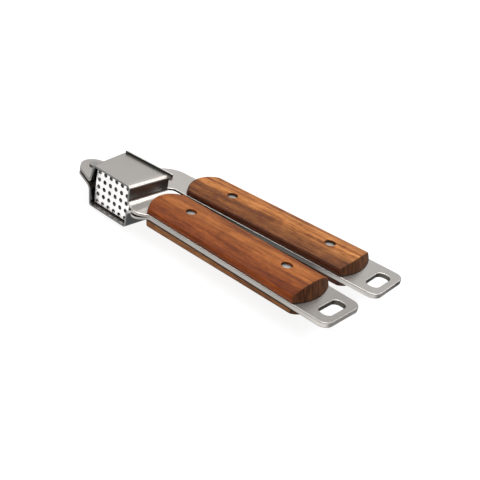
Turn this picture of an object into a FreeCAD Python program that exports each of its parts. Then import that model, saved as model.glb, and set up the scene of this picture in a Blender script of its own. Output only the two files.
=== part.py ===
import FreeCAD, Part
import math
import os

V = FreeCAD.Vector
UP = V(0, 0, 1)

# ---- driving dimensions, mm; the hinge pin axis is x = y = 0, the mid-plane of the press is z = 0
SHELL_T = 1.4            # sheet of the two hopper lever shells
SHELL_GAP = 1.4          # opening between the shells that the plunger lever turns in
PLATE_T = 1.2            # sheet of the two plunger lever plates
HANDLE_W = 28.0          # width of both tangs and of the wood on them
HANDLE_END_X = 168.5     # end of the hopper lever's tang
HANDLE_Y = 2.6           # centre line of the hopper lever's tang
SPLAY_DEG = 3.68         # angle between the two handles at rest
FAR_END = (166.7, 43.5)  # end of the plunger lever's centre line at rest
TANG_CORNER_R = 5.0
SLOT_FROM_END = 7.4
SLOT_W = 7.2
SLOT_L = 15.2
SLOT_R = 3.1
EDGE_R = 0.5             # rounded edge round the tangs and the slots

FRAME_HALF_H = 11.85
FRAME_T = 1.0            # the drawn walls of the frame are thinner than its flanges
FRONT_Y = -13.75         # open front end of the frame, where the sieve shows
MOUTH_LEFT = (10.3, 10.6)
MOUTH_RIGHT = (42.8, 12.8)
FRAME_LEFT_FRONT_X = 13.4
FRAME_RIGHT_FRONT_X = 41.6
LEFT_TOP_R = 1.6
RIGHT_TOP_R = 1.8
LEFT_LEAN = 1.8          # the hinge side wall stands out by this at its flange
LEFT_FOOT_R = 2.6
RIGHT_FOOT_R = 2.6
EAR_R = 7.2
PIN_R = 2.0
PIN_HEAD_R = 2.7
PIN_HEAD_H = 0.95
PIN_HEAD_BREAK = 0.2
PIN_CLEARANCE = 0.05
JOGGLE_X0 = 49.0         # between these two stations the shells close on each other
JOGGLE_X1 = 55.0

SIEVE_Y = -11.5          # outer face of the perforated wall
BASKET_T = 0.7
BASKET_HALF_H = 9.9
BASKET_MOUTH_HALF_H = 10.15
BASKET_LEFT_GAP = 0.3
BASKET_RIGHT_GAP = 0.45
BASKET_CORNER_R = 1.3
BASKET_NOSE_R = 0.4
LIP_T = 0.9
LIP_H = 1.4              # how far the lips stand above and below the frame
LIP_X = (11.4, 44.3)
HOLE_R = 1.22
HOLE_PITCH = 4.24
HOLE_COLUMNS = 6
HOLE_ROWS = 5
HOLE_CENTRE_X = 27.5

WOOD_INSET = 0.1         # how far the wood stays inside the edges of its plate
WOOD_BREAK = 0.4         # broken lower edge of the wood
WOOD_SHOULDER_R = 2.1
WOOD_REAR_R = 27.0
WOOD_FRONT_R = 18.5
WOOD_REAR_SLANT = 0.38   # how far the rear end leans forward per mm of height
WOOD_FRONT_SLANT = 0.2
WOOD_FRONT_ROLL_R = 1.5
WOOD_REAR_ROLL_R = 0.6
HOPPER_WOOD = (16.1, 121.8)      # rear and front of the scales, from the end of the tang
LEVER_WOOD = (17.4, 125.4)
HOPPER_UPPER_CROWN = ((3.2, 8.2), (2.9, 4.6))  # side and crown height, at the rear and at the front
LEVER_UPPER_CROWN = ((3.2, 6.8), (2.8, 3.8))
LOWER_CROWN = ((2.7, 6.0), (4.5, 6.6))
HOPPER_RIVETS = (36.3, 98.6)     # from the end of the tang
LEVER_RIVETS = (37.4, 99.7)
RIVET_R = 1.75
RIVET_HEAD_R = 2.6
RIVET_HEAD_H = 1.1
RIVET_DOME = 0.3
RIVET_SINK = 0.8         # top of a head below the wood's crown
COUNTERBORE_R = 2.9
RIVET_SLEEVE_R = 2.25

CLOSING_DEG = 4.0        # travel left from rest until the handles meet
PLUNGER_FACE_Y = -10.3   # face of the plunger with the handles closed
PLUNGER_HALF_H = 8.75
PLUNGER_FOOT_T = 4.8
PLUNGER_R_IN = 19.1
PLUNGER_R_OUT = 38.8
CHEEK_T = 2.2
PLUNGER_RIVET_R = 1.6
PLUNGER_HEAD_R = 2.5
PLUNGER_HEAD_H = 0.9
PLUNGER_RIVETS = ((27.6, 16.0), (27.6, 6.0))
LEVER_EDGE_X = 41.0      # the plunger lever's upper edge is rounded beyond this


# ---- small builders
def rounded_wire(points, height=0.0, upright=False):
    """Closed wire through (a, b, radius) corners; upright wires lie in the XZ plane at y = height."""
    count = len(points)
    edges = []
    previous = None
    first = None
    for i in range(count):
        ax, ay = points[i - 1][:2]
        bx, by, radius = points[i]
        cx, cy = points[(i + 1) % count][:2]
        u = V(ax - bx, ay - by, 0)
        w = V(cx - bx, cy - by, 0)
        u.normalize()
        w.normalize()
        corner = V(bx, by, 0)
        if radius <= 0:
            start, end, arc_mid = corner, corner, None
        else:
            half = u.getAngle(w) / 2.0
            reach = radius / math.tan(half)
            start = corner + u * reach
            end = corner + w * reach
            bisector = (u + w).normalize()
            arc_mid = corner + bisector * (radius / math.sin(half) - radius)
        if previous is not None:
            edges.append((previous, None, start))
        else:
            first = start
        if arc_mid is not None:
            edges.append((start, arc_mid, end))
        previous = end
    edges.append((previous, None, first))
    shapes = []
    for start, middle, end in edges:
        if (start - end).Length < 1e-6:
            continue
        if middle is None:
            shapes.append(Part.LineSegment(lift(start, height, upright), lift(end, height, upright)).toShape())
        else:
            ends = (lift(start, height, upright), lift(middle, height, upright), lift(end, height, upright))
            shapes.append(Part.Arc(*ends).toShape())
    return Part.Wire(shapes)


def lift(point, height, upright):
    if upright:
        return V(point.x, height, point.y)
    return V(point.x, point.y, height)


def prism(points, z0, z1):
    return Part.Face(rounded_wire(points, z0)).extrude(V(0, 0, z1 - z0))


def disc(x, y, radius, z0, z1):
    return Part.makeCylinder(radius, z1 - z0, V(x, y, z0))


def mirrored_down(shape, z=0.0):
    return shape.mirror(V(0, 0, z), UP)


def turned(shape, degrees):
    result = shape.copy()
    result.rotate(V(0, 0, 0), UP, degrees)
    return result


def far_point(from_end, across):
    """Point on the plunger lever, from the end of its tang and across its centre line."""
    angle = math.radians(SPLAY_DEG)
    x = FAR_END[0] - from_end * math.cos(angle) - across * math.sin(angle)
    y = FAR_END[1] - from_end * math.sin(angle) + across * math.cos(angle)
    return x, y


def to_near(shape):
    """From handle coordinates (end of the tang at x = 0, centre line y = 0) to the hopper lever."""
    result = shape.copy()
    result.translate(V(HANDLE_END_X, HANDLE_Y, 0))
    return result


def to_far(shape):
    result = shape.copy()
    result.rotate(V(0, 0, 0), UP, SPLAY_DEG)
    result.translate(V(FAR_END[0], FAR_END[1], 0))
    return result


def mouth_y(x):
    slope = (MOUTH_RIGHT[1] - MOUTH_LEFT[1]) / (MOUTH_RIGHT[0] - MOUTH_LEFT[0])
    return MOUTH_LEFT[1] + slope * (x - MOUTH_LEFT[0])


def wall_x(left, y):
    """Outer face of a side wall of the frame at station y."""
    front_x = FRAME_LEFT_FRONT_X if left else FRAME_RIGHT_FRONT_X
    mouth = MOUTH_LEFT if left else MOUTH_RIGHT
    return front_x + (mouth[0] - front_x) * (y - FRONT_Y) / (mouth[1] - FRONT_Y)


def round_edges(shape, z, x_min):
    """Rounds the outline edges that lie at height z beyond x_min."""
    picked = []
    for edge in shape.Edges:
        box = edge.BoundBox
        flat = abs(box.ZMin - z) < 1e-4 and abs(box.ZMax - z) < 1e-4
        if flat and box.XMin > x_min and box.DiagonalLength > 0.1:
            round_hole = abs(box.XLength - box.YLength) < 1e-3
            if not round_hole:
                picked.append(edge)
    return shape.makeFillet(EDGE_R, picked)


# ---- hopper lever: two mirrored pressed shells
def shell_section(y):
    """Section of the upper shell across the frame; the wall by the hinge leans out towards its flange."""
    left = wall_x(True, y)
    foot = left - LEFT_LEAN
    right = wall_x(False, y)
    low = SHELL_GAP / 2
    high = low + SHELL_T
    top = FRAME_HALF_H
    inner_top = top - FRAME_T
    return [
        (-12.0, high, 0), (foot, high, LEFT_FOOT_R), (left, top, LEFT_TOP_R), (right, top, RIGHT_TOP_R),
        (right, high, RIGHT_FOOT_R), (47.0, high, 0), (47.0, low, 0),
        (right - FRAME_T, low, RIGHT_FOOT_R + FRAME_T), (right - FRAME_T, inner_top, RIGHT_TOP_R - FRAME_T),
        (left + FRAME_T, inner_top, LEFT_TOP_R - FRAME_T), (foot + FRAME_T, low, LEFT_FOOT_R + FRAME_T),
        (-12.0, low, 0)]


def shell_outline():
    """Plan outline of a shell, hinge ear, frame, shoulder and tang in one closed line."""
    low_y = HANDLE_Y - HANDLE_W / 2
    high_y = HANDLE_Y + HANDLE_W / 2
    return [
        (-6.0, -4.2, 0), (-2.6, -8.0, 3.5), (11.6, -13.4, 1.0), (13.6, FRONT_Y, 0),
        (42.6, FRONT_Y, 6.0), (49.4, -17.2, 5.0), (54.6, low_y, 2.5),
        (HANDLE_END_X, low_y, TANG_CORNER_R), (HANDLE_END_X, high_y, TANG_CORNER_R),
        (55.0, high_y, 5.0), (47.5, mouth_y(44.2) - 1.0, 1.5), (44.2, mouth_y(44.2), 0),
        (8.2, mouth_y(8.2), 0), (-2.4, 6.8, 0)]


def hanging_slot(x, z0, z1):
    half_l = SLOT_L / 2
    half_w = SLOT_W / 2
    corners = [(x - half_w, -half_l), (x + half_w, -half_l), (x + half_w, half_l), (x - half_w, half_l)]
    return prism([(a, b, SLOT_R) for a, b in corners], z0, z1)


def hopper_shell():
    """Upper shell: half of the frame, the hinge ear and the upper layer of the tang."""
    front = rounded_wire(shell_section(FRONT_Y), FRONT_Y, True)
    back_y = MOUTH_RIGHT[1] + 3.0
    back = rounded_wire(shell_section(back_y), back_y, True)
    head = Part.makeLoft([front, back], True, True)
    low = SHELL_GAP / 2
    side = [
        (45.0, low, 0), (JOGGLE_X0, low, 6.0), (JOGGLE_X1, 0, 6.0), (HANDLE_END_X + 1, 0, 0),
        (HANDLE_END_X + 1, SHELL_T, 0), (JOGGLE_X1, SHELL_T, 6.0), (JOGGLE_X0, low + SHELL_T, 6.0),
        (45.0, low + SHELL_T, 0)]
    tang = Part.Face(rounded_wire(side, -25.0, True)).extrude(V(0, 50, 0))
    outline = prism(shell_outline(), -1, FRAME_HALF_H + 1)
    outline = outline.fuse(disc(0, 0, EAR_R, -1, FRAME_HALF_H + 1))
    shell = head.fuse(tang).common(outline).removeSplitter()
    shell = shell.cut(to_near(hanging_slot(-SLOT_FROM_END, -1, SHELL_T + 1)))
    shell = round_edges(shell.Solids[0], SHELL_T, JOGGLE_X1 + 0.5)
    for from_end in HOPPER_RIVETS:
        shell = shell.cut(to_near(disc(-from_end, 0, RIVET_SLEEVE_R + 0.03, -1, SHELL_T + 1)))
    return shell.cut(disc(0, 0, PIN_R, -1, low + SHELL_T + 1)).Solids[0]


def hinge_pin():
    """Shank with a flat head on both ears."""
    face_z = SHELL_GAP / 2 + SHELL_T
    pin = disc(0, 0, PIN_R, -face_z, face_z)
    for direction in (1, -1):
        head = Part.makeCylinder(PIN_HEAD_R, PIN_HEAD_H, V(0, 0, direction * face_z), UP * direction)
        rim = [e for e in head.Edges if abs(e.BoundBox.ZMin - direction * (face_z + PIN_HEAD_H)) < 1e-4
               and abs(e.BoundBox.ZMax - direction * (face_z + PIN_HEAD_H)) < 1e-4]
        pin = pin.fuse(head.makeFillet(PIN_HEAD_BREAK, rim))
    return pin.removeSplitter()


# ---- sieve basket
def basket_section(y, inset, half_h, radius):
    left = wall_x(True, y) + FRAME_T + BASKET_LEFT_GAP + inset
    right = wall_x(False, y) - FRAME_T - BASKET_RIGHT_GAP - inset
    return [(left, -half_h, radius), (right, -half_h, radius), (right, half_h, radius), (left, half_h, radius)]


def basket_body(inset, y0, y1, half0, half1):
    radius = BASKET_CORNER_R - inset
    first = rounded_wire(basket_section(y0, inset, half0, radius), y0, True)
    last = rounded_wire(basket_section(y1, inset, half1, radius), y1, True)
    return Part.makeLoft([first, last], True, True)


def beyond_mouth(offset):
    """Half space past a plane parallel to the mouth."""
    slope = math.atan2(MOUTH_RIGHT[1] - MOUTH_LEFT[1], MOUTH_RIGHT[0] - MOUTH_LEFT[0])
    block = Part.makeBox(120, 60, 80, V(-40, 0, -40))
    block.rotate(V(0, 0, 0), UP, math.degrees(slope))
    block.translate(V(MOUTH_LEFT[0], MOUTH_LEFT[1], 0))
    block.translate(V(-math.sin(slope), math.cos(slope), 0) * offset)
    return block


def sieve_basket():
    """Pressed cup with a perforated end wall, and a lip above and below that sits on the frame's mouth."""
    far_y = MOUTH_RIGHT[1] + 5.0
    outer = basket_body(0.0, SIEVE_Y, far_y, BASKET_HALF_H, BASKET_MOUTH_HALF_H)
    nose = [e for e in outer.Edges if abs(e.BoundBox.YMin - SIEVE_Y) < 1e-3 and abs(e.BoundBox.YMax - SIEVE_Y) < 1e-3]
    outer = outer.makeFillet(BASKET_NOSE_R, nose)
    inner = basket_body(BASKET_T, SIEVE_Y + BASKET_T, far_y + 1, BASKET_HALF_H - BASKET_T,
                        BASKET_MOUTH_HALF_H - BASKET_T)
    lip_top = FRAME_HALF_H + LIP_H
    lip_foot = BASKET_MOUTH_HALF_H - BASKET_T
    lip_points = [(LIP_X[0], lip_foot, 0), (LIP_X[1], lip_foot, 0.5), (LIP_X[1], lip_top, 0.5),
                  (LIP_X[0], lip_top, 0.5)]
    lip = Part.Face(rounded_wire(lip_points, 0.0, True)).extrude(V(0, 30, 0))
    lip = lip.common(beyond_mouth(0.05))
    basket = outer.fuse([lip, mirrored_down(lip)]).cut(beyond_mouth(0.05 + LIP_T)).cut(inner)
    return basket.cut(sieve_punches()).Solids[0]


def sieve_punches():
    first_x = HOLE_CENTRE_X - HOLE_PITCH * (HOLE_COLUMNS - 1) / 2
    first_z = -HOLE_PITCH * (HOLE_ROWS - 1) / 2
    tools = []
    for column in range(HOLE_COLUMNS):
        for row in range(HOLE_ROWS):
            start = V(first_x + column * HOLE_PITCH, SIEVE_Y - 1, first_z + row * HOLE_PITCH)
            tools.append(Part.makeCylinder(HOLE_R, BASKET_T + 1, start, V(0, 1, 0)))
    return Part.makeCompound(tools)


# ---- plunger lever
def lever_outline():
    """Plan outline of the upper lever plate at rest: hub, neck over the mouth, tang and plunger web."""
    c = math.cos(math.radians(CLOSING_DEG))
    s = math.sin(math.radians(CLOSING_DEG))
    web = [(x * c - y * s, x * s + y * c, r) for x, y, r in
           ((33.5, 14.6, 2.0), (33.5, -5.2, 1.0), (21.7, -5.2, 1.0), (21.2, 13.4, 2.0), (6.0, 12.9, 3.0))]
    half = HANDLE_W / 2
    near_front = far_point(128.0, -half)
    far_front = far_point(112.0, half)
    return [
        (-4.8, 4.0, 0), (0.4, 9.6, 3.0), (0.2, 15.2, 5.0), (12.5, 25.4, 8.0), (24.4, 39.5, 13.0),
        (41.0, 40.6, 6.0), (far_front[0], far_front[1], 6.0),
        (*far_point(0, half), TANG_CORNER_R), (*far_point(0, -half), TANG_CORNER_R),
        (near_front[0], near_front[1], 3.0), (36.0, 17.0, 2.5)] + web + [(6.3, 2.0, 0), (-2.0, -2.0, 0)]


def lever_upper_plate():
    half_t = PLATE_T / 2
    plate = prism(lever_outline(), -half_t, half_t)
    plate = plate.fuse(disc(0, 0, EAR_R - 0.3, -half_t, half_t)).removeSplitter()
    plate = plate.cut(disc(0, 0, PIN_R + PIN_CLEARANCE, -5, 5))
    plate = plate.cut(to_far(hanging_slot(-SLOT_FROM_END, -5, 5)))
    plate = round_edges(plate.Solids[0], half_t, LEVER_EDGE_X)
    for from_end in LEVER_RIVETS:
        plate = plate.cut(to_far(disc(-from_end, 0, RIVET_SLEEVE_R + 0.03, -5, 5)))
    for x, y in PLUNGER_RIVETS:
        plate = plate.cut(turned(disc(x, y, PLUNGER_RIVET_R, -5, 5), CLOSING_DEG))
    return plate.Solids[0]


def lever_lower_plate():
    """Second layer of the plunger lever's tang, ending under the front of the wood."""
    half = HANDLE_W / 2
    top = -PLATE_T / 2
    front = LEVER_WOOD[1] - 0.4
    bar = prism([(0, -half, TANG_CORNER_R), (0, half, TANG_CORNER_R), (-front - 5, half, 0), (-front - 5, -half, 0)],
                top - PLATE_T, top)
    nose = disc(-front + WOOD_FRONT_R, 0, WOOD_FRONT_R, top - PLATE_T, top)
    straight = front - WOOD_FRONT_R * 0.62
    rear = Part.makeBox(straight, HANDLE_W, PLATE_T, V(-straight, -half, top - PLATE_T))
    bar = bar.common(nose.fuse(rear))
    bar = bar.cut(hanging_slot(-SLOT_FROM_END, -5, 5))
    for from_end in LEVER_RIVETS:
        bar = bar.cut(disc(-from_end, 0, RIVET_SLEEVE_R + 0.03, -5, 5))
    return to_far(bar.removeSplitter().Solids[0])


# ---- wooden scales, in handle coordinates with the tang's end at x = 0
def crown_at(from_end, wood, crown):
    """Side and crown height of a scale at a distance from the end of its tang."""
    share = (from_end - wood[0]) / (wood[1] - wood[0])
    side = crown[0][0] + (crown[1][0] - crown[0][0]) * share
    rise = crown[0][1] + (crown[1][1] - crown[0][1]) * share
    return side, rise


def crown_section(from_end, plate_z, wood, crown):
    """Section across a scale: flat base with broken edges, upright sides, round shoulders and a crown."""
    side, rise = crown_at(from_end, wood, crown)
    half = HANDLE_W / 2 - WOOD_INSET
    radius = WOOD_SHOULDER_R
    crown_r = (half ** 2 + (rise - side) ** 2) / (2 * (rise - side))
    centre = rise - crown_r
    shoulder = centre + math.sqrt((crown_r - radius) ** 2 - (half - radius) ** 2)
    angle = math.atan2(shoulder - centre, half - radius)
    middle = (half - radius + radius * math.cos(angle / 2), shoulder + radius * math.sin(angle / 2))
    touch = (half - radius + radius * math.cos(angle), shoulder + radius * math.sin(angle))

    def at(y, z):
        return V(-from_end, y, plate_z + z)

    return Part.Wire([
        Part.LineSegment(at(-half + WOOD_BREAK, 0), at(half - WOOD_BREAK, 0)).toShape(),
        Part.LineSegment(at(half - WOOD_BREAK, 0), at(half, WOOD_BREAK)).toShape(),
        Part.LineSegment(at(half, WOOD_BREAK), at(half, shoulder)).toShape(),
        Part.Arc(at(half, shoulder), at(*middle), at(*touch)).toShape(),
        Part.Arc(at(*touch), at(0, rise), at(-touch[0], touch[1])).toShape(),
        Part.Arc(at(-touch[0], touch[1]), at(-middle[0], middle[1]), at(-half, shoulder)).toShape(),
        Part.LineSegment(at(-half, shoulder), at(-half, WOOD_BREAK)).toShape(),
        Part.LineSegment(at(-half, WOOD_BREAK), at(-half + WOOD_BREAK, 0)).toShape()])


def scale_plan(height, rise, wood):
    """Plan wire of a scale at a height above its plate."""
    half = HANDLE_W / 2 + 1
    rear = -wood[0] - WOOD_REAR_SLANT * rise
    front = -wood[1] + WOOD_FRONT_SLANT * rise
    rear_sag = WOOD_REAR_R - math.sqrt(WOOD_REAR_R ** 2 - half ** 2)
    front_sag = WOOD_FRONT_R - math.sqrt(WOOD_FRONT_R ** 2 - half ** 2)
    a = V(rear - rear_sag, -half, height)
    b = V(rear - rear_sag, half, height)
    c = V(front + front_sag, half, height)
    d = V(front + front_sag, -half, height)
    return Part.Wire([
        Part.Arc(a, V(rear, 0, height), b).toShape(), Part.LineSegment(b, c).toShape(),
        Part.Arc(c, V(front, 0, height), d).toShape(), Part.LineSegment(d, a).toShape()])


def scale(plate_z, wood, crown, rivets):
    """Crowned wooden scale that stands on height plate_z."""
    bar = Part.makeLoft([crown_section(0, plate_z, wood, crown), crown_section(140, plate_z, wood, crown)],
                        True, True)
    rise = 10
    block = Part.makeLoft([scale_plan(plate_z, 0, wood), scale_plan(plate_z + rise, rise, wood)], True, True)
    body = bar.common(block).removeSplitter().Solids[0]
    for radius, in_front in ((WOOD_FRONT_ROLL_R, True), (WOOD_REAR_ROLL_R, False)):
        corners = []
        for edge in body.Edges:
            box = edge.BoundBox
            at_front = box.XMax < -wood[1] / 2
            if box.YLength < 1.5 and box.ZMin > plate_z + 0.2 and box.ZLength > 0.3 and at_front == in_front:
                if box.XLength < 5:
                    corners.append(edge)
        body = body.makeFillet(radius, corners)
    for from_end in rivets:
        crown_z = plate_z + crown_at(from_end, wood, crown)[1]
        seat = crown_z - RIVET_SINK - RIVET_DOME - RIVET_HEAD_H
        body = body.cut(disc(-from_end, 0, RIVET_SLEEVE_R + 0.03, plate_z - 1, crown_z + 1))
        body = body.cut(disc(-from_end, 0, COUNTERBORE_R, seat, crown_z + 1))
    return body.Solids[0]


def hopper_scale(crown):
    plate_z = SHELL_T
    body = to_near(scale(plate_z, HOPPER_WOOD, crown, HOPPER_RIVETS))
    step = SHELL_GAP / 2
    relief = [
        (40.0, plate_z - 1, 0), (40.0, plate_z + step + 0.03, 0), (JOGGLE_X0 + 0.2, plate_z + step + 0.03, 0),
        (JOGGLE_X1 + 0.4, plate_z + 0.01, 0), (JOGGLE_X1 + 0.4, plate_z - 1, 0)]
    return body.cut(Part.Face(rounded_wire(relief, -25.0, True)).extrude(V(0, 50, 0))).Solids[0]


def lever_scale(crown):
    return to_far(scale(PLATE_T / 2, LEVER_WOOD, crown, LEVER_RIVETS))


# ---- rivets
def domed_head(z, direction):
    """Head with a shallow dome, seated at z and facing along direction."""
    head = Part.makeCylinder(RIVET_HEAD_R, RIVET_HEAD_H, V(0, 0, z), UP * direction)
    sphere_r = (RIVET_HEAD_R ** 2 + RIVET_DOME ** 2) / (2 * RIVET_DOME)
    top = z + direction * RIVET_HEAD_H
    ball = Part.makeSphere(sphere_r, V(0, 0, top - direction * (sphere_r - RIVET_DOME)))
    low = min(z, z + direction * (RIVET_HEAD_H + 1))
    column = Part.makeCylinder(RIVET_HEAD_R, RIVET_HEAD_H + 1, V(0, 0, low))
    return head.fuse(ball.common(column)).removeSplitter()


def handle_rivets(top_plate_z, bottom_plate_z, wood, crown, rivets):
    """Two rivets in handle coordinates, each a tube from below that a pin from above closes."""
    sleeves = []
    pins = []
    depth = RIVET_SINK + RIVET_DOME + RIVET_HEAD_H
    for from_end in rivets:
        top_seat = top_plate_z + crown_at(from_end, wood, crown)[1] - depth
        bottom_seat = bottom_plate_z - crown_at(from_end, wood, LOWER_CROWN)[1] + depth
        sleeve = domed_head(bottom_seat, -1).fuse(disc(0, 0, RIVET_SLEEVE_R, bottom_seat - 0.1, top_seat - 0.3))
        sleeve = sleeve.removeSplitter().cut(disc(0, 0, RIVET_R, bottom_seat + 0.6, top_seat + 1))
        pin = domed_head(top_seat, 1).fuse(disc(0, 0, RIVET_R - 0.02, bottom_seat + 1.2, top_seat + 0.1))
        sleeves.append(sleeve.translated(V(-from_end, 0, 0)))
        pins.append(pin.removeSplitter().translated(V(-from_end, 0, 0)))
    return Part.makeCompound(sleeves), Part.makeCompound(pins)


# ---- plunger
def plunger():
    """Foot with two cheeks that straddle the lever plate, built with the handles closed."""
    y0 = PLUNGER_FACE_Y
    y1 = y0 + PLUNGER_FOOT_T
    half = PLUNGER_HALF_H
    block = Part.makeBox(40, PLUNGER_FOOT_T, 2 * half, V(5, y0, -half))
    ring = disc(0, 0, PLUNGER_R_OUT, -half, half).cut(disc(0, 0, PLUNGER_R_IN, -half - 1, half + 1))
    foot = block.common(ring)
    foot = foot.makeFillet(1.6, [e for e in foot.Edges if e.BoundBox.YLength > 1 and e.BoundBox.ZLength < 0.01
                                 and abs(abs(e.BoundBox.ZMin) - half) < 1e-4])
    slot = PLATE_T / 2 + 0.03
    cheek_plan = [
        (20.6, y0 + 1, 0), (34.2, y0 + 1, 0), (34.0, y1 + 1.5, 3.0), (32.4, 12.0, 6.0), (32.0, 21.5, 4.4),
        (23.2, 21.5, 4.4), (22.8, 12.0, 6.0), (20.8, y1 + 1.5, 3.0)]
    cheek = prism(cheek_plan, slot, slot + CHEEK_T)
    rib = Part.makeBox(2.2, 7.5, 2 * half - 2.4, V(26.5, y1 - 0.5, -half + 1.2))
    rib = rib.makeChamfer(4.0, [e for e in rib.Edges if e.BoundBox.XLength > 2 and e.BoundBox.YMin > y1 + 5
                                and e.BoundBox.ZLength < 0.01 and e.BoundBox.YLength < 0.01])
    body = foot.fuse([cheek, mirrored_down(cheek), rib])
    body = body.cut(Part.makeBox(14.0, 60, 2 * slot, V(20.4, y1 - 0.6, -slot)))
    for x, y in PLUNGER_RIVETS:
        body = body.cut(disc(x, y, PLUNGER_RIVET_R, -10, 10))
    return turned(body.removeSplitter().Solids[0], CLOSING_DEG)


def plunger_rivets():
    face_z = PLATE_T / 2 + 0.03 + CHEEK_T
    rivets = []
    for x, y in PLUNGER_RIVETS:
        rivet = disc(x, y, PLUNGER_RIVET_R, -face_z, face_z)
        for direction in (1, -1):
            head = Part.makeCylinder(PLUNGER_HEAD_R, PLUNGER_HEAD_H, V(x, y, direction * face_z), UP * direction)
            rim = [e for e in head.Edges if abs(abs(e.BoundBox.ZMin) - face_z - PLUNGER_HEAD_H) < 1e-4
                   and abs(abs(e.BoundBox.ZMax) - face_z - PLUNGER_HEAD_H) < 1e-4]
            rivet = rivet.fuse(head.makeFillet(0.6, rim))
        rivets.append(turned(rivet.removeSplitter(), CLOSING_DEG))
    return Part.makeCompound(rivets)


def build():
    shell = hopper_shell()
    near_sleeves, near_pins = handle_rivets(SHELL_T, -SHELL_T, HOPPER_WOOD, HOPPER_UPPER_CROWN,
                                             HOPPER_RIVETS)
    far_sleeves, far_pins = handle_rivets(PLATE_T / 2, -1.5 * PLATE_T, LEVER_WOOD, LEVER_UPPER_CROWN,
                                           LEVER_RIVETS)
    return {
        "hopper_upper_shell": shell,
        "hopper_lower_shell": mirrored_down(shell),
        "hinge_pin": hinge_pin(),
        "sieve_basket": sieve_basket(),
        "hopper_upper_scale": hopper_scale(HOPPER_UPPER_CROWN),
        "hopper_lower_scale": mirrored_down(hopper_scale(LOWER_CROWN)),
        "hopper_rivet_sleeves": to_near(near_sleeves),
        "hopper_rivet_pins": to_near(near_pins),
        "lever_upper_plate": lever_upper_plate(),
        "lever_lower_plate": lever_lower_plate(),
        "lever_upper_scale": lever_scale(LEVER_UPPER_CROWN),
        "lever_lower_scale": mirrored_down(lever_scale(LOWER_CROWN), -PLATE_T / 2),
        "lever_rivet_sleeves": to_far(far_sleeves),
        "lever_rivet_pins": to_far(far_pins),
        "plunger": plunger(),
        "plunger_rivets": plunger_rivets()}


def main():
    os.makedirs("parts", exist_ok=True)
    nodes = build()
    box = FreeCAD.BoundBox()
    for shape in nodes.values():
        box.add(shape.optimalBoundingBox(False))
    shift = V(-box.Center.x, -box.Center.y, -box.ZMin)
    for name, shape in nodes.items():
        shape.translate(shift)
        shape.exportStep("parts/" + name + ".step")
        print(name, len(shape.Solids), shape.isValid(), round(shape.Volume, 1))
    print("shift", shift, "size", box.XLength, box.YLength, box.ZLength)


main()
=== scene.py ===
import math

import bpy
from mathutils import Matrix, Vector


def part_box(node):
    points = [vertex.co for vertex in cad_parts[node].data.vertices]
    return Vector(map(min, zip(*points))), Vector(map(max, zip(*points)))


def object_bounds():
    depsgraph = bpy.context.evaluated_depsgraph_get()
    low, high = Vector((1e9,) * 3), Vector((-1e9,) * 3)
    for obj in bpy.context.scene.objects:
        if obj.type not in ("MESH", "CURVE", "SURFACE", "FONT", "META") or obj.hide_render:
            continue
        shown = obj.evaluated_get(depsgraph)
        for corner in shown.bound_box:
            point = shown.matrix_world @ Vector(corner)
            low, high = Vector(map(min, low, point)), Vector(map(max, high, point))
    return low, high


SPLAY = math.radians(3.68)      # the plunger lever's handle against the hopper lever's
MIDDLE = 0.01325                # height of the press's mid-plane
HALF_WIDTH = 0.014              # of both handles
HOPPER_LINE = -0.01798          # centre line of the hopper lever's handle
LEVER_LINE = 0.01735            # the same for the plunger lever, across its own direction
LEVER_SLOT = 0.0224             # Y of the slot's centre in the plunger lever's tang
TANG_END = 0.0875               # X at which both tangs end, to within a millimetre
HOPPER_SHEET = 0.0014           # from the mid-plane to the hopper lever's wood, up and down
LEVER_ABOVE = 0.0006            # from the mid-plane up to the plunger lever's wood
LEVER_BELOW = 0.0018            # and down to it
SPAN = 0.2                      # length over which tones along the press are given, centred on the origin
WHITE = (1.0, 1.0, 1.0)
FLOOR_REACH = 20.0
FLOOR_GLOW = 0.88
SKY_STRENGTH = 1.4
LENS = 73.23
AZIMUTH, ELEVATION, ROLL = math.radians(36.19), math.radians(29.58), math.radians(11.12)
FROM_PIN = Vector((0.3447, -0.3281, 0.2398))    # from the hinge pin to the camera

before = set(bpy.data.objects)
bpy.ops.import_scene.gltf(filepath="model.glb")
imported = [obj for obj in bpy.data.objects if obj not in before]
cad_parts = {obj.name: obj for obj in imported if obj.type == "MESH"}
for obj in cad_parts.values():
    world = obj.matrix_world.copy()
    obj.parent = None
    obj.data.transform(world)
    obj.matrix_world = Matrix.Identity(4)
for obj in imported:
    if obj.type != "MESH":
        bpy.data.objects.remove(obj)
cad_low, cad_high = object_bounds()


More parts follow.
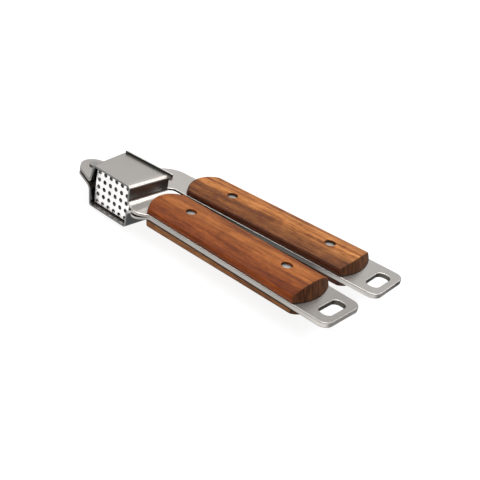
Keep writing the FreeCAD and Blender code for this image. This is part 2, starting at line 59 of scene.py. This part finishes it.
# ---- node helpers
class Graph:
    """A material's node tree with short calls for the nodes used here."""

    def __init__(self, name):
        self.material = bpy.data.materials.new(name)
        self.material.use_nodes = True
        self.tree = self.material.node_tree
        self.tree.nodes.clear()
        output = self.node("ShaderNodeOutputMaterial")
        self.shader = self.node("ShaderNodeBsdfPrincipled")
        self.link(self.shader.outputs["BSDF"], output.inputs["Surface"])

    def node(self, kind, **settings):
        made = self.tree.nodes.new(kind)
        for key, value in settings.items():
            setattr(made, key, value)
        return made

    def link(self, source, target):
        self.tree.links.new(source, target)

    def feed(self, target, value):
        if isinstance(value, bpy.types.NodeSocket):
            self.link(value, target)
        else:
            target.default_value = value

    def place(self, scale, turn=0.0, shift=(0.0, 0.0, 0.0)):
        """Object coordinates, turned about Z, shifted and stretched."""
        where = self.node("ShaderNodeTexCoord").outputs["Object"]
        turned = self.node("ShaderNodeMapping")
        turned.inputs["Rotation"].default_value = (0.0, 0.0, -turn)
        turned.inputs["Location"].default_value = shift
        self.link(where, turned.inputs["Vector"])
        scaled = self.node("ShaderNodeMapping")
        scaled.inputs["Scale"].default_value = scale
        self.link(turned.outputs["Vector"], scaled.inputs["Vector"])
        return scaled.outputs["Vector"]

    def noise(self, vector, scale=1.0, detail=4.0, rough=0.55, distort=0.0):
        made = self.node("ShaderNodeTexNoise")
        self.link(vector, made.inputs["Vector"])
        made.inputs["Scale"].default_value = scale
        made.inputs["Detail"].default_value = detail
        made.inputs["Roughness"].default_value = rough
        made.inputs["Distortion"].default_value = distort
        return made.outputs["Fac"]

    def math(self, operation, a, b=0.0, c=0.0):
        made = self.node("ShaderNodeMath", operation=operation)
        self.feed(made.inputs[0], a)
        self.feed(made.inputs[1], b)
        self.feed(made.inputs[2], c)
        return made.outputs[0]

    def ramp(self, value, stops, ease="LINEAR"):
        made = self.node("ShaderNodeValToRGB")
        made.color_ramp.interpolation = ease
        elements = made.color_ramp.elements
        while len(elements) < len(stops):
            elements.new(0.5)
        for element, (position, color) in zip(elements, stops):
            element.position = position
            element.color = (*color, 1.0) if isinstance(color, tuple) else (color, color, color, 1.0)
        self.link(value, made.inputs["Fac"])
        return made.outputs["Color"]

    def mix(self, factor, a, b, blend="MIX"):
        made = self.node("ShaderNodeMix", data_type="RGBA", blend_type=blend)
        self.feed(made.inputs[0], factor)
        self.feed(made.inputs[6], a if isinstance(a, bpy.types.NodeSocket) else (*a, 1.0))
        self.feed(made.inputs[7], b if isinstance(b, bpy.types.NodeSocket) else (*b, 1.0))
        return made.outputs[2]

    def bump(self, height, distance, strength):
        made = self.node("ShaderNodeBump")
        made.inputs["Strength"].default_value = strength
        made.inputs["Distance"].default_value = distance
        self.link(height, made.inputs["Height"])
        return made.outputs["Normal"]

    def split(self, vector):
        made = self.node("ShaderNodeSeparateXYZ")
        self.link(vector, made.inputs["Vector"])
        return made.outputs

    def facing(self):
        return self.split(self.node("ShaderNodeTexCoord").outputs["Normal"])

    def along(self, axis):
        """Position on an axis of the frame, in metres."""
        return self.split(self.node("ShaderNodeTexCoord").outputs["Object"])[axis]

    def steepness(self, flat_from):
        """1 on upright faces, 0 where the normal's upright part is flat_from or more."""
        return self.ramp(self.math("ABSOLUTE", self.facing()["Z"]), [(0.20, 1.0), (flat_from, 0.0)])

    def off(self, axis, station):
        """Distance in mm from a station on an axis of the frame."""
        away = self.math("ABSOLUTE", self.math("SUBTRACT", self.along(axis), station))
        return self.math("MULTIPLY", away, 1000.0)

    def lengthwise(self, stops):
        """Tones along the press, 0 at its hinge end and 1 at the tangs' end of SPAN."""
        return self.ramp(self.math("MULTIPLY_ADD", self.along("X"), 1.0 / SPAN, 0.5), stops)

    def finish(self, color, roughness, normal):
        self.link(color, self.shader.inputs["Base Color"])
        self.link(roughness, self.shader.inputs["Roughness"])
        self.link(normal, self.shader.inputs["Normal"])
        return self.material


# ---- materials
def front_shade(g, turn, centre):
    """How strongly painted shade darkens a handle: across the crown's half towards -Y, fully where it turns down
    on that side, and less where it turns down on the other."""
    tilt = g.facing()["Y"]
    across = g.math("MAXIMUM", g.math("MULTIPLY", tilt, -1.0), g.math("MULTIPLY", tilt, 0.4))
    lie = g.split(g.place(WHITE, turn))["Y"]
    share = g.math("MULTIPLY_ADD", lie, -0.5 / HALF_WIDTH, 0.5 * centre / HALF_WIDTH + 0.5)
    band = g.ramp(share, [(0.48, 0.0), (0.82, 0.64), (1.0, 0.80)], "EASE")
    return g.math("MAXIMUM", g.ramp(across, [(0.10, 0.0), (0.50, 1.0)]), band)


def wood(name, turn, centre, shift, veins, contrast, tint, side, foot):
    """Oiled acacia: growth layers stand nearly upright along the handle, with dark veins, flecks and pores.

    Turn and centre say how the handle lies, shift which piece of the timber it is cut from. Side is painted
    shade, multiplied into the handle's side towards -Y, and foot is the height at which the wood meets the steel."""
    g = Graph(name)
    warp = g.noise(g.place((9.0, 60.0, 34.0), turn, shift), detail=3.0)
    lift = g.node("ShaderNodeCombineXYZ")
    g.link(g.math("MULTIPLY", warp, 2.6), lift.inputs["Y"])
    lifted = g.node("ShaderNodeVectorMath", operation="ADD")
    g.link(g.place((5.0, 190.0, 60.0), turn, shift), lifted.inputs[0])
    g.link(lift.outputs["Vector"], lifted.inputs[1])
    layers = g.noise(lifted.outputs["Vector"], detail=4.0, rough=0.6)
    flecks = g.noise(g.place((210.0, 2300.0, 1600.0), turn, shift), detail=3.0, rough=0.7)
    streaks = g.noise(g.place((34.0, 620.0, 420.0), turn, shift), detail=3.0, rough=0.6)
    ribbon = g.noise(g.place((75.0, 95.0, 80.0), turn, shift), detail=3.0, rough=0.6, distort=0.6)
    pores = g.noise(g.place((330.0, 4200.0, 3300.0), turn, shift), detail=2.0)
    # a vein lies wherever the layered field crosses its middle value
    field = g.noise(lifted.outputs["Vector"], scale=1.3, detail=2.5, rough=0.5)
    crossing = g.math("ABSOLUTE", g.math("SUBTRACT", field, 0.5))
    vein = g.ramp(crossing, [(0.0, 1.0), (0.018, 0.75), (0.065, 0.0)])
    vein = g.math("MULTIPLY", vein, g.ramp(warp, [(0.42, 0.05), (0.56, 1.0)]))

    grain = g.math("MULTIPLY_ADD", flecks, 0.42, g.math("MULTIPLY_ADD", ribbon, 0.22, -0.205))
    grain = g.math("ADD", grain, g.math("MULTIPLY_ADD", layers, 0.44, g.math("MULTIPLY", streaks, 0.35)))
    grain = g.math("MULTIPLY_ADD", grain, contrast, 0.51 * (1.0 - contrast))
    deep, dark, mid, light = (
        tuple(channel * gain for channel, gain in zip(color, tint))
        for color in ((0.060, 0.014, 0.004), (0.165, 0.045, 0.008), (0.300, 0.100, 0.024), (0.450, 0.180, 0.062)))
    color = g.ramp(grain, [(0.30, deep), (0.44, dark), (0.60, mid), (0.80, light)])
    color = g.mix(g.math("MULTIPLY", vein, veins), color, deep)
    pore = g.ramp(pores, [(0.58, 0.0), (0.68, 1.0)])
    color = g.mix(g.math("MULTIPLY", pore, 0.45), color, deep)
    # painted shade over the handle's side towards -Y and the crown's half beside it
    color = g.mix(front_shade(g, turn, centre), color, side, "MULTIPLY")
    # faces turned towards +X are darker: end grain drinks more oil, and painted shade darkens them further
    end = g.ramp(g.facing()["X"], [(0.45, 0.0), (0.80, 1.0)])
    rings = g.noise(g.place((60.0, 900.0, 140.0), turn, shift), detail=3.0)
    end_tone_and_shade = g.ramp(rings, [(0.38, (0.014, 0.005, 0.002)), (0.62, (0.080, 0.030, 0.012))])
    color = g.mix(g.math("MULTIPLY", end, 0.85), color, end_tone_and_shade)
    # painted shadow: near black where the wood meets the steel
    joint_shadow = g.ramp(g.off("Z", foot), [(0.30, 1.0), (0.75, 0.0)])
    color = g.mix(g.math("MULTIPLY", joint_shadow, 0.9), color, (0.010, 0.006, 0.004))
    rough = g.math("MULTIPLY_ADD", flecks, 0.24, g.math("MULTIPLY_ADD", pore, 0.15, 0.32))
    rough = g.math("MULTIPLY_ADD", end, 0.15, rough)
    height = g.math("SUBTRACT", g.math("MULTIPLY", flecks, 0.6), pore)
    g.shader.inputs["Specular IOR Level"].default_value = 0.15
    return g.finish(color, rough, g.bump(height, 0.00005, 0.7))


def slot_shade(g, slot_y):
    """Where painted shade darkens a tang: 1 on the walls of the punched slot, 0 on the tang's outer edges and its
    end.
    """
    beside = g.ramp(g.math("MULTIPLY", g.off("Y", slot_y), 0.05), [(0.45, 1.0), (0.52, 0.0)])
    inside = g.math("MULTIPLY", beside, g.lengthwise([(0.82, 0.0), (0.84, 1.0)]))
    off_end = g.ramp(g.math("MULTIPLY", g.off("X", TANG_END), 0.1), [(0.12, 0.0), (0.2, 1.0)])
    return g.math("MULTIPLY", inside, off_end)


def brushed(name, tone, turn=0.0, rough=0.3, grain=(14.0, 5200.0, 5200.0), painted_edge_light=((0.0, 1.0),), painted_wall_shade=WHITE,
            wall_from=1.8, slot_y=None, flat_from=0.62, painted_highlight_and_shade=((0.0, 1.0),)):
    """Brushed steel: fine lines along the sheet, faint blotches in the polish and a few scratches.

    Grain is the stretch of the lines. Faces that stand more upright than flat_from says are multiplied by
    the tones of edge, given along the press, and further out than wall_from mm from the mid-plane by wall
    instead: painted light and shade. A punched slot at slot_y gets painted shade inside. The tones of worn,
    given along the press, multiply all faces as painted highlight and painted shade."""
    g = Graph(name)
    lines = g.noise(g.place(grain, turn), detail=3.0, rough=0.7)
    fine = g.noise(g.place((900.0, 2600.0, 2600.0), turn), detail=2.0, rough=0.6)
    blotch = g.noise(g.place((55.0, 70.0, 70.0), turn, (0.3, 0.1, 0.2)), detail=3.0)
    scratch = g.noise(g.place((60.0, 900.0, 500.0), turn + 0.4, (0.1, 0.5, 0.0)), detail=1.0)
    scratch = g.ramp(scratch, [(0.70, 0.0), (0.74, 1.0)])
    color = g.mix(g.ramp(blotch, [(0.3, 0.0), (0.75, 1.0)]), tone, tuple(c * 0.88 for c in tone))
    streak = g.math("MULTIPLY_ADD", lines, 0.28, g.math("MULTIPLY", fine, 0.22))
    color = g.mix(streak, color, tuple(c * 0.62 for c in tone))
    outer = g.math("MULTIPLY", g.math("SUBTRACT", g.off("Z", MIDDLE), wall_from), 0.6)
    painted_edge_tone = g.lengthwise(painted_edge_light)
    if slot_y is not None:
        # painted shade inside the punched slot
        painted_edge_tone = g.mix(slot_shade(g, slot_y), painted_edge_tone, (0.16, 0.15, 0.14))
    # painted highlight and painted shade along the press, on all faces
    color = g.mix(1.0, color, g.lengthwise(painted_highlight_and_shade), "MULTIPLY")
    # painted light and shade on upright faces, with its own tone on the walls far from the mid-plane
    shade = g.mix(g.ramp(outer, [(0.0, 0.0), (1.0, 1.0)]), painted_edge_tone, painted_wall_shade)
    color = g.mix(g.steepness(flat_from), color, shade, "MULTIPLY")
    roughness = g.math("MULTIPLY_ADD", lines, 0.16, g.math("MULTIPLY_ADD", blotch, 0.12, rough - 0.12))
    roughness = g.math("MULTIPLY_ADD", scratch, 0.08, roughness)
    g.shader.inputs["Metallic"].default_value = 1.0
    height = g.math("ADD", lines, g.math("MULTIPLY", fine, 0.5))
    height = g.math("SUBTRACT", height, g.math("MULTIPLY", scratch, 0.4))
    return g.finish(color, roughness, g.bump(height, 0.00001, 0.6))


def cast(name, tone):
    """Matt cast steel with a fine skin."""
    g = Graph(name)
    skin = g.noise(g.place((900.0, 900.0, 900.0)), detail=4.0)
    stain = g.noise(g.place((90.0, 90.0, 90.0)), detail=2.0)
    color = g.mix(stain, tone, tuple(c * 0.72 for c in tone))
    g.shader.inputs["Metallic"].default_value = 1.0
    return g.finish(color, g.math("MULTIPLY_ADD", skin, 0.25, 0.34), g.bump(skin, 0.00004, 0.6))


def dress(material, *nodes):
    for node in nodes:
        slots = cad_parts[node].data.materials
        slots.clear()
        slots.append(material)


def dress_wood():
    warm, pale, dull = (1.04, 0.98, 0.82), (1.34, 1.50, 1.52), (1.0, 1.2, 1.4)
    # painted shade for each handle's side towards -Y, far stronger on the plunger lever's, which lies in the
    # hopper handle's shadow
    hopper_side_shade, lever_side_shade = (0.68, 0.43, 0.18), (0.20, 0.12, 0.06)
    dress(wood("wood_hopper_upper", 0.0, HOPPER_LINE, (0.00, 0.00, 0.00), 0.40, 1.15,
               warm, hopper_side_shade, MIDDLE + HOPPER_SHEET), "hopper_upper_scale")
    dress(wood("wood_hopper_lower", 0.0, HOPPER_LINE, (0.31, 0.07, 0.02), 0.50, 1.2,
               dull, WHITE, MIDDLE - HOPPER_SHEET), "hopper_lower_scale")
    dress(wood("wood_lever_upper", SPLAY, LEVER_LINE, (0.57, 0.13, 0.05), 1.0, 1.6,
               pale, lever_side_shade, MIDDLE + LEVER_ABOVE), "lever_upper_scale")
    dress(wood("wood_lever_lower", SPLAY, LEVER_LINE, (0.83, 0.19, 0.09), 0.60, 1.2,
               warm, lever_side_shade, MIDDLE - LEVER_BELOW), "lever_lower_scale")


def dress_steel():
    # painted light and shade: darker upright faces and walls, lighter tang ends, a painted highlight on the
    # flanges
    shells = brushed("shell_steel", (0.60, 0.565, 0.53), painted_edge_light=((0.5, 0.56), (0.80, 0.66), (0.94, 1.3)),
                     painted_wall_shade=(0.24, 0.262, 0.275), slot_y=HOPPER_LINE,
                     painted_highlight_and_shade=((0.285, 1.0), (0.312, 1.4), (0.335, 1.4), (0.36, 1.0), (0.65, 1.0), (0.88, 0.74)))
    dress(shells, "hopper_upper_shell", "hopper_lower_shell")
    # painted shade: the neck's upright edges nearly black, lighter towards the tangs, and darker towards their
    # ends
    plates = brushed("lever_steel", (0.71, 0.675, 0.64), SPLAY,
                     painted_edge_light=((0.30, 0.02), (0.60, 0.13), (0.75, 0.16), (0.86, 0.85)), slot_y=LEVER_SLOT,
                     flat_from=0.8, painted_highlight_and_shade=((0.0, 1.0), (0.65, 1.0), (0.88, 0.80)))
    dress(plates, "lever_upper_plate", "lever_lower_plate")
    # painted shade: the basket's upright faces at its rim, far from the mid-plane, nearly black
    sieve = brushed("sieve_steel", (0.95, 0.94, 0.92), rough=0.38, grain=(700.0, 700.0, 700.0),
                    painted_wall_shade=(0.05, 0.05, 0.045), wall_from=10.4, flat_from=1.0)
    dress(sieve, "sieve_basket")
    # two stops alike, since a ramp keeps a white second stop when it is given one
    # painted shade on the upright sides of the pins, sleeves and rivet heads
    pins = brushed("rivet_steel", (0.44, 0.43, 0.41), rough=0.36, grain=(1500.0, 1500.0, 1500.0),
                   painted_edge_light=((0.0, 0.2), (0.2, 0.2)), painted_wall_shade=(0.35, 0.33, 0.30))
    dress(pins, "hopper_rivet_sleeves", "hopper_rivet_pins", "lever_rivet_sleeves", "lever_rivet_pins",
          "hinge_pin", "plunger_rivets")
    dress(cast("plunger_steel", (0.17, 0.17, 0.16)), "plunger")


# ---- stage
def make_floor():
    """Grey floor that its own glow makes white, left out of bounced light and reflections."""
    mesh = bpy.data.meshes.new("floor")
    reach = FLOOR_REACH
    corners = [(-reach, -reach, 0), (reach, -reach, 0), (reach, reach, 0), (-reach, reach, 0)]
    mesh.from_pydata(corners, [], [(0, 1, 2, 3)])
    floor = bpy.data.objects.new("floor", mesh)
    floor.location.z = cad_low.z - 0.0005
    floor.visible_diffuse = False
    floor.visible_glossy = False
    bpy.context.collection.objects.link(floor)
    g = Graph("floor_paint")
    speckle = g.noise(g.place((30.0, 30.0, 30.0)), detail=2.0)
    color = g.mix(speckle, (0.17, 0.17, 0.17), (0.15, 0.15, 0.15))
    g.shader.inputs["Emission Color"].default_value = (*WHITE, 1.0)
    g.shader.inputs["Emission Strength"].default_value = FLOOR_GLOW
    g.shader.inputs["Specular IOR Level"].default_value = 0.1
    roughness = g.math("MULTIPLY_ADD", speckle, 0.1, 0.7)
    mesh.materials.append(g.finish(color, roughness, g.bump(speckle, 0.0001, 0.1)))


def area_light(name, place, target, size, power):
    data = bpy.data.lights.new(name, "AREA")
    data.shape = "RECTANGLE"
    data.size, data.size_y = size
    data.energy = power
    light = bpy.data.objects.new(name, data)
    light.location = place
    light.rotation_mode = "QUATERNION"
    light.rotation_quaternion = (Vector(target) - Vector(place)).to_track_quat("-Z", "Y")
    bpy.context.collection.objects.link(light)


def make_sky():
    """A tent that is brightest overhead and has a brighter ring low in front."""
    world = bpy.data.worlds.new("studio")
    bpy.context.scene.world = world
    world.use_nodes = True
    tree = world.node_tree
    sky = tree.nodes["Background"]
    where = tree.nodes.new("ShaderNodeTexCoord")
    split = tree.nodes.new("ShaderNodeSeparateXYZ")
    tree.links.new(where.outputs["Generated"], split.inputs["Vector"])

    def tones(axis, stops):
        """Grey ramp along one axis of the sky, from -1 to 1."""
        share = tree.nodes.new("ShaderNodeMath")
        share.operation = "MULTIPLY_ADD"
        share.inputs[1].default_value = 0.5
        share.inputs[2].default_value = 0.5
        tree.links.new(split.outputs[axis], share.inputs[0])
        ramp = tree.nodes.new("ShaderNodeValToRGB")
        elements = ramp.color_ramp.elements
        while len(elements) < len(stops):
            elements.new(0.5)
        for element, (position, tone) in zip(elements, stops):
            element.position = position
            element.color = (tone, tone, tone, 1.0)
        tree.links.new(share.outputs[0], ramp.inputs["Fac"])
        return ramp.outputs["Color"]

    tent = tones("Z", [(0.0, 0.20), (0.2, 0.30), (0.36, 0.30), (0.5, 0.26), (0.65, 0.38), (0.75, 0.52),
                       (0.88, 0.78), (1.0, 1.0)])
    ring = tones("Z", [(0.06, 0.0), (0.17, 0.85), (0.31, 0.85), (0.42, 0.0)])
    front = tones("Y", [(0.30, 1.0), (0.58, 0.0)])
    bounce = tree.nodes.new("ShaderNodeVectorMath")
    bounce.operation = "MULTIPLY_ADD"
    tree.links.new(ring, bounce.inputs[0])
    tree.links.new(front, bounce.inputs[1])
    tree.links.new(tent, bounce.inputs[2])
    tree.links.new(bounce.outputs["Vector"], sky.inputs["Color"])
    sky.inputs["Strength"].default_value = SKY_STRENGTH


def make_lights():
    """The sky, a large soft box overhead, one on the hinge side and a narrow one behind the handles."""
    make_sky()
    area_light("overhead", (0.05, 0.22, 0.97), (0.0, 0.0, 0.0), (0.8, 0.5), 5.6)
    area_light("side", (-0.46, -0.25, 0.73), (0.0, 0.0, 0.0), (0.5, 0.18), 1.0)
    area_light("strip", (0.46, 0.64, 0.46), (-0.05, 0.0, 0.0), (0.5, 0.12), 1.0)
    bpy.context.scene.view_settings.view_transform = "Standard"


def make_camera():
    """Camera above and beyond the tangs, on the hopper lever's side, rolled a little about its own axis."""
    low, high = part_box("hinge_pin")
    pin = (low + high) / 2
    back = Vector((math.cos(ELEVATION) * math.sin(AZIMUTH), -math.cos(ELEVATION) * math.cos(AZIMUTH),
                   math.sin(ELEVATION)))
    level = Vector((math.cos(AZIMUTH), math.sin(AZIMUTH), 0.0))
    rise = back.cross(level)
    right = level * math.cos(ROLL) + rise * math.sin(ROLL)
    up = rise * math.cos(ROLL) - level * math.sin(ROLL)
    data = bpy.data.cameras.new("camera")
    data.sensor_width = 36.0
    data.lens = LENS
    data.clip_start = 0.01
    camera = bpy.data.objects.new("camera", data)
    turn = Matrix((right, up, back)).transposed().to_4x4()
    camera.matrix_world = Matrix.Translation(pin + FROM_PIN) @ turn
    bpy.context.collection.objects.link(camera)
    bpy.context.scene.camera = camera


dress_wood()
dress_steel()
make_floor()
make_lights()
make_camera()
